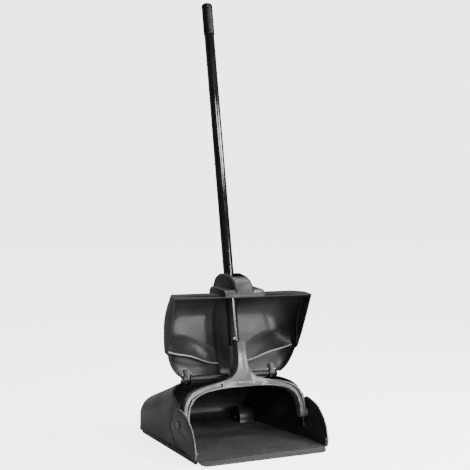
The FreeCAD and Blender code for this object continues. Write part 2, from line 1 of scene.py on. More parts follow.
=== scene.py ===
# %% [markdown]
# # A lobby dustpan with a hinged cover
# The object is a black moulded pan on two small wheels. Its yoke swings on two pins, a tube handle stands
# in the yoke, and a two-bowl cover closes over the mouth as the handle swings forward. The frame brings every
# rigid part at its true place and size, in metres, with the mouth facing -Y. This lesson gives those parts
# their rounded edges, their small details and their finishes, and then lights them.

import json
import math

import bmesh
import bpy
from mathutils import Matrix, Vector

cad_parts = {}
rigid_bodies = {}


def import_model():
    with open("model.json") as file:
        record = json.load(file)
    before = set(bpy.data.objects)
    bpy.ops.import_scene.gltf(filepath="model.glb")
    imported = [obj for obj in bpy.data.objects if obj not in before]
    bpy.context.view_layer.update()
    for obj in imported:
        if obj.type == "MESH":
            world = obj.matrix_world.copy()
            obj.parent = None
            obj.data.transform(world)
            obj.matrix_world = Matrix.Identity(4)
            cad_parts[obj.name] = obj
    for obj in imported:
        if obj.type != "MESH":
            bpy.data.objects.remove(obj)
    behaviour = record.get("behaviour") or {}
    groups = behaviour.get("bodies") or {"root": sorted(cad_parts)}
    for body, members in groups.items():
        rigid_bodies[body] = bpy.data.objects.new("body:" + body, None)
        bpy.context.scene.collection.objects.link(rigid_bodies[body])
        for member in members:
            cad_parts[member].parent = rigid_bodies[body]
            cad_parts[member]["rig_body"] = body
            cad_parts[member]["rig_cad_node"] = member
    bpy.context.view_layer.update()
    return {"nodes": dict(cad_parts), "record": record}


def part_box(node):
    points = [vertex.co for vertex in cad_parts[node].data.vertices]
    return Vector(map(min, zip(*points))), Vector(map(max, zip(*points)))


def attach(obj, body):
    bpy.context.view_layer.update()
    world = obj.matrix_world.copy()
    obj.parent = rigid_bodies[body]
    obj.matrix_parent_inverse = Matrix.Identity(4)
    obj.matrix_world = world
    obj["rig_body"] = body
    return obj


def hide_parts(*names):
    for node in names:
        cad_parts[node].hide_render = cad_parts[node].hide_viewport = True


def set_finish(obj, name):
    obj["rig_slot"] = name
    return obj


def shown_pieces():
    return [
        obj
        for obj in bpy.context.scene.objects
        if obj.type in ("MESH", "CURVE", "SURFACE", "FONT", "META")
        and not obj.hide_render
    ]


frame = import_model()
nodes = frame["nodes"]
bodies = frame["record"]["behaviour"]["bodies"]
body_of_node = {node: body for body, members in bodies.items() for node in members}
slot_of_node = {row["node"]: row["material_slot"] for row in frame["record"]["subparts"]}
print("parts in the frame:", len(nodes))

# %% [markdown]
# ## Working by operators
# Operators act on whatever is selected, and a freshly loaded frame is selected all over. So one helper
# clears the selection and makes a single object active, and every later step starts with it.

# %% Select one object and nothing else
MM = 0.001
X_AXIS = Vector((1, 0, 0))
Y_AXIS = Vector((0, 1, 0))
SIDES = ((-1, "left"), (1, "right"))


def only(piece):
    bpy.ops.object.select_all(action="DESELECT")
    piece.select_set(True)
    bpy.context.view_layer.objects.active = piece


def apply_all(piece):
    only(piece)
    for modifier in list(piece.modifiers):
        bpy.ops.object.modifier_apply(modifier=modifier.name)


def settle(piece, angle=35.0):
    """Put the object's place into its mesh, point its faces outwards and smooth all but its sharp edges."""
    only(piece)
    bpy.ops.object.transform_apply(location=True, rotation=True, scale=True)
    bpy.ops.object.mode_set(mode="EDIT")
    bpy.ops.mesh.select_all(action="SELECT")
    bpy.ops.mesh.remove_doubles(threshold=0.01 * MM)
    bpy.ops.mesh.normals_make_consistent(inside=False)
    bpy.ops.object.mode_set(mode="OBJECT")
    bpy.ops.object.shade_smooth_by_angle(angle=math.radians(angle))


# %% [markdown]
# ## Rounding a moulded part
# Injection-moulded parts have no knife edges: the steel they are cast against is polished and slightly
# rounded. The rigid parts arrive as loose triangles, so a copy is merged first and its flat areas are
# dissolved into single faces. A Bevel modifier then finds the real edges by their angle. Rounding by hand,
# edge by edge, would give the same shape but would have to be done again whenever the part changes.

# %% Copy a rigid part, merge it and round its edges
MERGE_DISTANCE = 0.002 * MM
FLAT_WITHIN = math.radians(0.4)
SMOOTH_WITHIN = math.radians(30)


def stand_in_for(piece, node):
    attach(piece, body_of_node[node])
    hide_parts(node)
    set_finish(piece, slot_of_node[node])
    return piece


def rounded_copy(node, name, width, angle=38.0, segments=2, clamp=True):
    piece = nodes[node].copy()
    piece.data = nodes[node].data.copy()
    piece.name = name
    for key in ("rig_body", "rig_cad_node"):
        if key in piece:
            del piece[key]
    piece.parent = None
    piece.matrix_world = Matrix.Identity(4)
    bpy.context.scene.collection.objects.link(piece)
    only(piece)
    bpy.ops.object.mode_set(mode="EDIT")
    bpy.ops.mesh.select_all(action="SELECT")
    bpy.ops.mesh.remove_doubles(threshold=MERGE_DISTANCE)
    bpy.ops.mesh.dissolve_limited(angle_limit=FLAT_WITHIN)
    bpy.ops.object.mode_set(mode="OBJECT")
    bevel = piece.modifiers.new("soft edges", "BEVEL")
    bevel.width = width
    bevel.segments = segments
    bevel.limit_method = "ANGLE"
    bevel.angle_limit = math.radians(angle)
    bevel.use_clamp_overlap = clamp
    apply_all(piece)
    bpy.ops.object.shade_smooth_by_angle(angle=SMOOTH_WITHIN)
    print(name, "has", len(piece.data.polygons), "faces")
    return stand_in_for(piece, node)


pan_shell = rounded_copy("pan_body", "pan_shell", 0.5 * MM, clamp=False)
cover_shell = rounded_copy("cover", "cover_shell", 0.25 * MM, clamp=False)
rounded_copy("yoke", "yoke_casting", 0.7 * MM)
rounded_copy("skid_frame", "skid_runner", 0.8 * MM)

# %% [markdown]
# ## Turned and drawn parts
# Pins, caps, wheels and sleeves are round. Each could be a profile spun about an axis, but it is quicker to
# start with one circle and then extrude it ring by ring, scaling each new ring to its own radius. A ring of
# no radius closes the end. A hollow part runs up the outside and comes back down the bore, and its last
# ring is bridged to its first.

# %% Build a round part ring by ring
def turned(name, base, direction, rings, segments=40, hollow=False, angle=35.0):
    direction = direction.normalized()
    height, radius = rings[0]
    first_centre = base + direction * height
    bpy.ops.object.select_all(action="DESELECT")
    bpy.ops.mesh.primitive_circle_add(
        vertices=segments, radius=radius, fill_type="NOTHING" if hollow else "NGON",
        location=first_centre, rotation=direction.to_track_quat("Z", "Y").to_euler())
    piece = bpy.context.active_object
    piece.name = name
    bpy.ops.object.mode_set(mode="EDIT")
    bpy.ops.mesh.select_mode(type="EDGE" if hollow else "VERT")
    bpy.ops.mesh.select_all(action="SELECT")
    for next_height, next_radius in rings[1:]:
        step = direction * (next_height - height)
        factor = next_radius / radius
        centre = base + direction * next_height
        if hollow:
            bpy.ops.mesh.extrude_edges_move(TRANSFORM_OT_translate={"value": step})
        else:
            bpy.ops.mesh.extrude_region_move(TRANSFORM_OT_translate={"value": step})
        bpy.ops.transform.resize(value=(factor, factor, factor), center_override=centre)
        height, radius = next_height, next_radius
    if hollow:
        bpy.ops.mesh.select_all(action="DESELECT")
        bpy.ops.mesh.select_mode(type="EDGE")
        bpy.ops.mesh.select_non_manifold(extend=False, use_wire=False, use_multi_face=False,
                                         use_non_contiguous=False, use_verts=False)
        bpy.ops.mesh.bridge_edge_loops()
    bpy.ops.mesh.select_mode(type="VERT")
    bpy.ops.object.mode_set(mode="OBJECT")
    settle(piece, angle)
    return piece


# %% [markdown]
# ## The handle
# The tube is drawn metal under a glossy coat. It leans a little, and its box in the frame tells where its
# axis runs: the box is as deep and as high as the leaning axis plus the tube's own thickness, so a few rounds
# of correction give the lean. The grip is a dipped sleeve with a rolled lower edge and shallow rings, and a
# domed plug closes the top.

# %% Find the handle's axis
TUBE_RADIUS = 11.0 * MM
SLEEVE_RADIUS = 12.2 * MM
tube_low, tube_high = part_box("handle_tube")
tube_length_y = tube_high.y - tube_low.y
tube_length_z = tube_high.z - tube_low.z
lean = math.atan2(tube_length_y, tube_length_z)
ROUNDS_OF_CORRECTION = 20
for _ in range(ROUNDS_OF_CORRECTION):
    along_y = tube_length_y - 2 * TUBE_RADIUS * math.cos(lean)
    along_z = tube_length_z - 2 * TUBE_RADIUS * math.sin(lean)
    lean = math.atan2(along_y, along_z)
tube_axis = Vector((0, math.sin(lean), math.cos(lean)))
tube_across = Vector((0, math.cos(lean), -math.sin(lean)))
tube_foot = Vector((0, tube_low.y, tube_low.z)) + Vector(
    (0, TUBE_RADIUS * math.cos(lean), TUBE_RADIUS * math.sin(lean)))
tube_length = math.hypot(along_y, along_z)
print("the handle leans", round(math.degrees(lean), 2), "degrees")
print("the tube is", round(tube_length, 3), "m long")

# %% The tube, the grip and the plug
rounded_copy("handle_tube", "coated_tube", 0.35 * MM, angle=60.0)

GRIP_LENGTH = 64.0 * MM
GRIP_RINGS = 9
grip_from = tube_length - GRIP_LENGTH
bore = TUBE_RADIUS + 0.03 * MM
grip_profile = [(grip_from, bore), (grip_from, SLEEVE_RADIUS - 0.5 * MM),
                (grip_from + 0.5 * MM, SLEEVE_RADIUS), (grip_from + 3.5 * MM, SLEEVE_RADIUS),
                (grip_from + 4.3 * MM, SLEEVE_RADIUS - 0.5 * MM)]
ring_pitch = (GRIP_LENGTH - 12 * MM) / GRIP_RINGS
for ring in range(GRIP_RINGS):
    at = grip_from + 6 * MM + ring * ring_pitch
    grip_profile += [(at, SLEEVE_RADIUS - 0.45 * MM), (at + 0.7 * MM, SLEEVE_RADIUS - 0.05 * MM),
                     (at + ring_pitch - 1.6 * MM, SLEEVE_RADIUS - 0.05 * MM),
                     (at + ring_pitch - 0.9 * MM, SLEEVE_RADIUS - 0.45 * MM)]
grip_profile += [(tube_length - 0.6 * MM, SLEEVE_RADIUS), (tube_length - 0.05 * MM, SLEEVE_RADIUS - 0.4 * MM),
                 (tube_length - 0.05 * MM, bore)]
grip = turned("grip_sleeve_ribbed", tube_foot, tube_axis, grip_profile, segments=56, hollow=True)
stand_in_for(grip, "grip_sleeve")

CAP_HEIGHT = 8.0 * MM
STEM_RADIUS = 9.6 * MM
STEM_DEPTH = 18 * MM
DOME_STEPS = 9
cap_profile = [(-STEM_DEPTH, 0.2 * MM), (-STEM_DEPTH, STEM_RADIUS - 1.0 * MM),
               (-STEM_DEPTH + 1 * MM, STEM_RADIUS),
               (0.0, STEM_RADIUS), (0.05 * MM, SLEEVE_RADIUS - 0.5 * MM), (0.5 * MM, SLEEVE_RADIUS),
               (2.4 * MM, SLEEVE_RADIUS)]
for step in range(1, DOME_STEPS):
    turn = math.radians(90 * step / DOME_STEPS)
    cap_profile.append((2.4 * MM + 5.5 * MM * math.sin(turn),
                        SLEEVE_RADIUS - 6.2 * MM * (1 - math.cos(turn))))
cap_profile += [(CAP_HEIGHT - 0.05 * MM, 5.2 * MM), (CAP_HEIGHT - 0.4 * MM, 4.6 * MM),
                (CAP_HEIGHT - 0.4 * MM, 0.2 * MM)]
plug = turned("domed_plug", tube_foot + tube_axis * tube_length, tube_axis, cap_profile, segments=56)
stand_in_for(plug, "end_cap")

# %% [markdown]
# ## Snap button and its spring
# A steel button with a domed head pops through a hole in the tube and locks it in the yoke. Turning it ring
# by ring gives the dome. The spring strip keeps its shape and only has its edges eased.

# %% The snap button
BUTTON_TURN = math.radians(28.0)
BUTTON_RADIUS = 3.5 * MM
BUTTON_FROM_AXIS = 6.6 * MM
BUTTON_ABOVE_FOOT = 85.0 * MM
BUTTON_LENGTH = 7.8 * MM
BUTTON_DOME = 2.2 * MM
BUTTON_STEPS = 8
button_axis = (-X_AXIS * math.sin(BUTTON_TURN) - tube_across * math.cos(BUTTON_TURN)).normalized()
button_base = tube_foot + tube_axis * BUTTON_ABOVE_FOOT
button_profile = [(BUTTON_FROM_AXIS, 0.2 * MM), (BUTTON_FROM_AXIS, BUTTON_RADIUS - 0.3 * MM),
                  (BUTTON_FROM_AXIS + 0.3 * MM, BUTTON_RADIUS)]
for step in range(BUTTON_STEPS):
    turn = math.radians(90 * step / BUTTON_STEPS)
    button_profile.append((BUTTON_FROM_AXIS + BUTTON_LENGTH - BUTTON_DOME * (1 - math.sin(turn)),
                           0.2 * MM + (BUTTON_RADIUS - 0.2 * MM) * math.cos(turn) ** 0.8))
button = turned("snap_button_domed", button_base, button_axis, button_profile, segments=36)
stand_in_for(button, "snap_button")
rounded_copy("button_spring", "button_leaf", 0.12 * MM)

# %% [markdown]
# ## Pins, washers and rivets
# The pivot pins are zinc plated, with a broad domed head outside each ear. The hinge pins and axles are plain
# rods with chamfered ends. All of them are turned the same way, once for each side.

# %% Pins with heads, rods and washers
def along_x(node):
    low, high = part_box(node)
    return low, high, (low + high) / 2


def make_rod(node, chamfer):
    low, high, centre = along_x(node)
    radius = (high.z - low.z) / 2
    length = high.x - low.x
    base = Vector((low.x, centre.y, centre.z))
    step_in = 0.25 * MM
    half = [(0.0, 0.15 * MM), (0.0, radius * 0.35), (step_in, radius * 0.4), (step_in, radius - chamfer),
            (step_in + chamfer, radius)]
    rings = half + [(length - at, r) for at, r in reversed(half)]
    return stand_in_for(turned(node + "_rod", base, X_AXIS, rings, segments=32), node)


def make_headed_pin(node, side):
    low, high, centre = along_x(node)
    head = (high.z - low.z) / 2
    shank = head - 4.0 * MM
    length = high.x - low.x
    foot = low.x if side > 0 else high.x
    base = Vector((foot, centre.y, centre.z))
    top = length - 2.2 * MM
    rings = [(0.0, 0.15 * MM), (0.0, shank - 0.7 * MM), (0.7 * MM, shank), (top, shank),
             (top, head - 0.2 * MM), (top + 0.2 * MM, head), (top + 0.7 * MM, head)]
    for step in range(1, 7):
        turn = math.radians(90 * step / 7)
        rings.append((top + 0.7 * MM + 1.5 * MM * math.sin(turn), head - 3.4 * MM * (1 - math.cos(turn))))
    rings += [(length, 3.6 * MM), (length - 0.3 * MM, 3.0 * MM), (length - 0.3 * MM, 0.15 * MM)]
    return stand_in_for(turned(node + "_domed", base, X_AXIS * side, rings, segments=44), node)


def make_ring(node, bore_radius, edge):
    low, high, centre = along_x(node)
    radius = (high.z - low.z) / 2
    length = high.x - low.x
    base = Vector((low.x, centre.y, centre.z))
    rings = [(0.0, bore_radius), (0.0, radius - edge), (edge, radius), (length - edge, radius),
             (length, radius - edge), (length, bore_radius)]
    return stand_in_for(turned(node + "_turned", base, X_AXIS, rings, segments=44, hollow=True), node)


for side, hand in SIDES:
    make_headed_pin("pivot_pin_" + hand, side)
    make_ring("pivot_washer_" + hand, 4.06 * MM, 0.6 * MM)
    make_rod("hinge_pin_" + hand, 0.4 * MM)
    make_rod("axle_" + hand, 0.5 * MM)
    make_ring("axle_cap_" + hand, 3.02 * MM, 0.8 * MM)

# %% [markdown]
# Small round-headed rivets hold the runner. Each is a short stub whose outer edge only needs a
# generous rounding, so the stubs are copied and bevelled with more segments than the other edges get.

# %% Rivets along the rail
rounded_copy("skid_rivets", "rail_rivets", 0.9 * MM, angle=60.0, segments=5)

# %% [markdown]
# ## Wheels
# Two small hard wheels carry the rear of the pan. Each has a crowned tread with two grooves, a recessed side
# and a raised hub. The profile goes out along one side, over the tread and back to the bore.

# %% The wheels
def make_wheel(node):
    low, high, centre = along_x(node)
    radius = (high.z - low.z) / 2
    width = high.x - low.x
    bore_radius = 3.06 * MM
    hub = 7.0 * MM
    dish = 2.4 * MM
    rim_inside = radius - 5.0 * MM
    base = Vector((low.x, centre.y, centre.z))
    side_rings = [(0.0, bore_radius), (0.0, hub - 0.6 * MM), (0.6 * MM, hub), (dish, hub + 0.6 * MM),
                  (dish, rim_inside), (0.7 * MM, rim_inside + 0.6 * MM), (0.7 * MM, radius - 3.0 * MM),
                  (1.4 * MM, radius - 1.6 * MM), (2.6 * MM, radius - 0.6 * MM), (4.2 * MM, radius - 0.1 * MM)]
    groove = [(width * 0.36, radius), (width * 0.37, radius - 0.7 * MM), (width * 0.42, radius - 0.7 * MM),
              (width * 0.43, radius)]
    half = side_rings + groove
    rings = half + [(width - at, r) for at, r in reversed(half)]
    return stand_in_for(turned(node + "_dished", base, X_AXIS, rings, segments=64, hollow=True), node)


for side, hand in SIDES:
    make_wheel("wheel_" + hand)

# %% [markdown]
# ## The curl inside each bowl
# Inside the cover, the back of each bowl curls forward at the bottom and ends in a wavy edge, with a flat
# panel below it. It could be sculpted into the bowl, but the bowl's wall would then lose its even thickness.
# So the curl is its own solid: a row of sections from the side to the middle groove, each starting flush with
# the bowl's wall. A ray finds where the wall is, so that the curl follows it exactly.

# %% Find the inside of the bowl, and draw one section of the curl
BOWL_RAY_START = -0.20
CURL_STATIONS = [
    # from the middle, height of the wavy edge, and how far it stands in front of the wall
    (0.0255, 0.1655, 0.0035), (0.0380, 0.1665, 0.0050), (0.0500, 0.1690, 0.0080), (0.0630, 0.1735, 0.0120),
    (0.0780, 0.1800, 0.0165), (0.0940, 0.1855, 0.0190), (0.1080, 0.1885, 0.0200), (0.1210, 0.1910, 0.0190),
    (0.1320, 0.1935, 0.0165), (0.1410, 0.1960, 0.0120), (0.1475, 0.1980, 0.0060),
]
CURL_RISE = 0.052
CURL_POINTS = 12


def wall_depth(x, z):
    hit, place = cover_shell.ray_cast(Vector((x, BOWL_RAY_START, z)), Y_AXIS)[:2]
    return place.y


def curl_section(x, height, reach):
    points = []
    for k in range(CURL_POINTS):
        down = k / (CURL_POINTS - 1)
        z = height + CURL_RISE * (1 - down)
        points.append((wall_depth(x, z) + 0.5 * MM * (1 - down) - reach * down ** 2.6, z))
    edge = points[-1][0]
    points += [(edge + 0.5 * MM, height - 1.0 * MM), (edge + 2.0 * MM, height - 1.8 * MM)]
    for k in range(5):
        z = height - 6 * MM + (CURL_RISE + 4 * MM) * k / 4
        points.append((wall_depth(x, z) + 1.3 * MM, z))
    return points


# %% Join the sections into one closed solid
def make_curl(name, side):
    sections = [curl_section(side * x, height, reach) for x, height, reach in CURL_STATIONS]
    mesh = bmesh.new()
    rows = [[mesh.verts.new((side * station[0], y, z)) for y, z in section]
            for station, section in zip(CURL_STATIONS, sections)]
    for near, far in zip(rows, rows[1:]):
        for k in range(len(near)):
            n = (k + 1) % len(near)
            mesh.faces.new((near[k], near[n], far[n], far[k]))
    mesh.faces.new(rows[0])
    mesh.faces.new(rows[-1])
    data = bpy.data.meshes.new(name)
    mesh.to_mesh(data)
    mesh.free()
    piece = bpy.data.objects.new(name, data)
    bpy.context.scene.collection.objects.link(piece)
    settle(piece, 50)
    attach(piece, "cover")
    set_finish(piece, "pan_plastic")
    return piece


for side, hand in SIDES:
    make_curl("bowl_curl_" + hand, side)

# %% [markdown]
# ## Beads along the edges
# A thin moulded bead stiffens the edges that people grip or knock: the fold of each bowl, its wavy edge, and
# the rim of the hood. A bead is quickest as a curve with a round section, turned into a mesh once its path is
# right. It is sunk partly into the wall, so that it reads as a fine line that stands proud.

# %% Draw one bead along a path
def make_bead(name, points, radius, body, slot):
    curve = bpy.data.curves.new(name, "CURVE")
    curve.dimensions = "3D"
    curve.bevel_depth = radius
    curve.bevel_resolution = 3
    curve.use_fill_caps = True
    spline = curve.splines.new("NURBS")
    spline.points.add(len(points) - 1)
    for point, place in zip(spline.points, points):
        point.co = (*place, 1.0)
    spline.order_u = 3
    spline.use_endpoint_u = True
    spline.resolution_u = 6
    piece = bpy.data.objects.new(name, curve)
    bpy.context.scene.collection.objects.link(piece)
    only(piece)
    bpy.ops.object.convert(target="MESH")
    piece = bpy.context.active_object
    settle(piece, 60)
    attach(piece, body)
    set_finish(piece, slot)
    return piece


WAVY_BEAD_RADIUS = 1.9 * MM
FOLD_BEAD_RADIUS = 1.6 * MM
BOWL_FOLD = [(-0.036, 0.298), (-0.024, 0.281), (-0.017, 0.263), (-0.0155, 0.246), (-0.016, 0.229),
             (-0.019, 0.203)]
SIDE_RAY_START = 0.12


def side_wall(y, z, side):
    hit, place = cover_shell.ray_cast(Vector((side * SIDE_RAY_START, y, z)), X_AXIS * side)[:2]
    return place.x


for side, hand in SIDES:
    edge = []
    for x, height, reach in CURL_STATIONS:
        edge.append(Vector((side * x, wall_depth(side * x, height) - reach + 0.3 * MM, height)))
    make_bead("wavy_edge_bead_" + hand, edge, WAVY_BEAD_RADIUS, "cover", "pan_plastic")
    fold = [Vector((side_wall(y, z, side) - side * 0.2 * MM, y, z)) for y, z in BOWL_FOLD]
    make_bead("fold_bead_" + hand, fold, FOLD_BEAD_RADIUS, "cover", "pan_plastic")
print("beads drawn on the cover")

# %% [markdown]
# The hood and the ears end in a rolled rim. Rays find the front edge of the ears height by height, and the
# top of the hood's rim from side to side. Where the hinge lugs stand in the way, the bead runs straight past.

# %% The rolled rims of the pan
RIM_RADIUS = 1.5 * MM
EAR_MIDDLE = 0.1490
RIM_RAY_START = -0.30
LUG_FROM, LUG_TO = 0.089, 0.113
EAR_RIM_BOTTOM = 13.0
EAR_RIM_PITCH = 4.5
EAR_RIM_POINTS = 19
HOOD_HALF_WIDTH = 0.1405
HOOD_HALF_STEPS = 24
HOOD_TOP = 0.135
HOOD_FRONT_LIMIT = 0.020


def front_edge(x, z):
    hit, place = pan_shell.ray_cast(Vector((x, RIM_RAY_START, z)), Y_AXIS)[:2]
    return place.y if hit else None


for side, hand in SIDES:
    path = []
    for step in range(EAR_RIM_POINTS):
        z = (EAR_RIM_BOTTOM + EAR_RIM_PITCH * step) * MM
        path.append(Vector((side * EAR_MIDDLE, front_edge(side * EAR_MIDDLE, z) + 1.0 * MM, z)))
    make_bead("ear_rim_" + hand, path, RIM_RADIUS, "pan", "pan_plastic")

EAR_BORDER = [(-0.057, 0.0900), (-0.042, 0.0790), (-0.040, 0.0665), (-0.030, 0.0585), (-0.028, 0.0500),
              (-0.036, 0.0420), (-0.043, 0.0380), (-0.047, 0.0270), (-0.071, 0.0200), (-0.110, 0.0160),
              (-0.151, 0.0120)]
EAR_FACE = 0.1502
EAR_BEAD_RADIUS = 0.8 * MM
for side, hand in SIDES:
    border = [Vector((side * EAR_FACE, y, z)) for y, z in EAR_BORDER]
    make_bead("ear_border_" + hand, border, EAR_BEAD_RADIUS, "pan", "pan_plastic")

hood_path = []
for step in range(-HOOD_HALF_STEPS, HOOD_HALF_STEPS + 1):
    x = HOOD_HALF_WIDTH * step / HOOD_HALF_STEPS
    if LUG_FROM < abs(x) < LUG_TO:
        continue
    z = HOOD_TOP
    while front_edge(x, z) is None or front_edge(x, z) > HOOD_FRONT_LIMIT:
        z -= 0.5 * MM
    hood_path.append(Vector((x, front_edge(x, z) + 1.6 * MM, z - 1.2 * MM)))
make_bead("hood_rim", hood_path, RIM_RADIUS, "pan", "pan_plastic")

# %% [markdown]
# ## Shared effects
# Three effects turn up in most of the finishes: the fine texture that a mould leaves, dust that settles on
# upward faces, and thin scratches. Each is one node group with named inputs, so that every material can use
# it with its own values. The groups put out only masks and heights. The shader stays in each material.

# %% A helper for node groups
def new_group(name, inputs, outputs):
    group = bpy.data.node_groups.new(name, "ShaderNodeTree")
    for label, kind, value in inputs:
        socket = group.interface.new_socket(name=label, in_out="INPUT", socket_type="NodeSocket" + kind)
        if value is not None:
            socket.default_value = value
    for label in outputs:
        group.interface.new_socket(name=label, in_out="OUTPUT", socket_type="NodeSocketFloat")
    return group, group.nodes.new("NodeGroupInput"), group.nodes.new("NodeGroupOutput")


def math_node(tree, operation, a, b=None, clamp=False):
    node = tree.nodes.new("ShaderNodeMath")
    node.operation = operation
    node.use_clamp = clamp
    for socket, value in zip(node.inputs, (a, b)):
        if value is None:
            continue
        if isinstance(value, (int, float)):
            socket.default_value = value
        else:
            tree.links.new(value, socket)
    return node.outputs[0]


def noise(tree, vector, scale, detail=3.0, roughness=0.55):
    node = tree.nodes.new("ShaderNodeTexNoise")
    node.inputs["Detail"].default_value = detail
    node.inputs["Roughness"].default_value = roughness
    tree.links.new(vector, node.inputs["Vector"])
    if isinstance(scale, (int, float)):
        node.inputs["Scale"].default_value = scale
    else:
        tree.links.new(scale, node.inputs["Scale"])
    return node.outputs["Fac"]


def remap(tree, value, low, high, to_low=0.0, to_high=1.0):
    node = tree.nodes.new("ShaderNodeMapRange")
    node.interpolation_type = "SMOOTHSTEP"
    for label, number in (("From Min", low), ("From Max", high), ("To Min", to_low), ("To Max", to_high)):
        node.inputs[label].default_value = number
    tree.links.new(value, node.inputs["Value"])
    return node.outputs["Result"]


# %% Mould grain: fine leathery cells broken up by noise
grain, grain_in, grain_out = new_group(
    "mould grain", [("Vector", "Vector", None), ("Scale", "Float", 900.0)], ["Height", "Tone"])
cells = grain.nodes.new("ShaderNodeTexVoronoi")
cells.feature = "SMOOTH_F1"
grain.links.new(grain_in.outputs["Vector"], cells.inputs["Vector"])
grain.links.new(grain_in.outputs["Scale"], cells.inputs["Scale"])
fine = noise(grain, grain_in.outputs["Vector"], grain_in.outputs["Scale"], 4.0)
height_sum = math_node(grain, "ADD", math_node(grain, "MULTIPLY", cells.outputs["Distance"], 0.6),
                       math_node(grain, "MULTIPLY", fine, 0.6))
grain.links.new(height_sum, grain_out.inputs["Height"])
broad = noise(grain, grain_in.outputs["Vector"], 14.0, 5.0)
grain.links.new(remap(grain, broad, 0.3, 0.7), grain_out.inputs["Tone"])

# %% Settled dust: upward faces, broken up by soft noise
dust, dust_in, dust_out = new_group(
    "settled dust", [("Vector", "Vector", None), ("Normal", "Vector", None)], ["Mask"])
split = dust.nodes.new("ShaderNodeSeparateXYZ")
dust.links.new(dust_in.outputs["Normal"], split.inputs[0])
upward = remap(dust, split.outputs["Z"], 0.35, 0.98)
patches = remap(dust, noise(dust, dust_in.outputs["Vector"], 55.0, 6.0, 0.65), 0.38, 0.72)
specks = remap(dust, noise(dust, dust_in.outputs["Vector"], 1400.0, 2.0), 0.55, 0.75)
speckle = math_node(dust, "ADD", math_node(dust, "MULTIPLY", specks, 0.7), 0.3)
blotches = math_node(dust, "MULTIPLY", patches, speckle)
dust.links.new(math_node(dust, "MULTIPLY", upward, blotches, True), dust_out.inputs["Mask"])

# %% Scratches: long thin noise along one direction
scratches, scratches_in, scratches_out = new_group(
    "fine scratches", [("Vector", "Vector", None), ("Stretch", "Vector", (1.0, 0.06, 1.0))], ["Mask"])
stretch = scratches.nodes.new("ShaderNodeVectorMath")
stretch.operation = "MULTIPLY"
scratches.links.new(scratches_in.outputs["Vector"], stretch.inputs[0])
scratches.links.new(scratches_in.outputs["Stretch"], stretch.inputs[1])
lines = noise(scratches, stretch.outputs[0], 420.0, 2.0, 0.4)
wander = noise(scratches, scratches_in.outputs["Vector"], 24.0, 3.0)
thin = remap(scratches, lines, 0.64, 0.7)
scratches.links.new(math_node(scratches, "MULTIPLY", thin, remap(scratches, wander, 0.45, 0.62), True),
                    scratches_out.inputs["Mask"])
print("shared effects:", [g.name for g in bpy.data.node_groups])


# %% [markdown]
# ## Finishes
# Every finish starts from the same few nodes: object coordinates, a colour that varies a little, a roughness
# that follows the grain, and a bump from the grain's height. The values make the difference between a
# satin pan, a glossy tube and plated steel. Two places differ from the rest of the black moulding. The bowls'
# wavy edges and the rims of the ears get a paler, glossier finish, a painted highlight that makes them show
# as bright lines. The channel in which the tube slides gets painted shade: a soft band up the middle of the
# cover turns the specular level down, so the channel looks dark as if in shade. The band shows in Blender
# only, because the export drops a specular level that is linked.

# %% Build one finish from its values
# Fades and strength of the painted shade band: lowered specular that darkens the cover's channel as if it
# were in shade.
PAINTED_SHADE_SIDE_FADE = 6 * MM
PAINTED_SHADE_END_FADE = 10 * MM
PAINTED_SHADE_STRENGTH = 0.9


def use_group(tree, group, vector, **values):
    node = tree.nodes.new("ShaderNodeGroup")
    node.node_tree = group
    tree.links.new(vector, node.inputs["Vector"])
    for label, value in values.items():
        socket = node.inputs[label]
        if isinstance(value, (int, float, tuple)):
            socket.default_value = value
        else:
            tree.links.new(value, socket)
    return node


def mix_colour(tree, factor, a, b):
    node = tree.nodes.new("ShaderNodeMix")
    node.data_type = "RGBA"
    tree.links.new(factor, node.inputs["Factor"])
    for label, value in (("A", a), ("B", b)):
        socket = [s for s in node.inputs if s.name == label and s.type == "RGBA"][0]
        if isinstance(value, tuple):
            socket.default_value = value
        else:
            tree.links.new(value, socket)
    return [s for s in node.outputs if s.type == "RGBA"][0]


def grey(value, warm=0.0):
    return (value * (1 + warm), value, value * (1 - warm), 1.0)


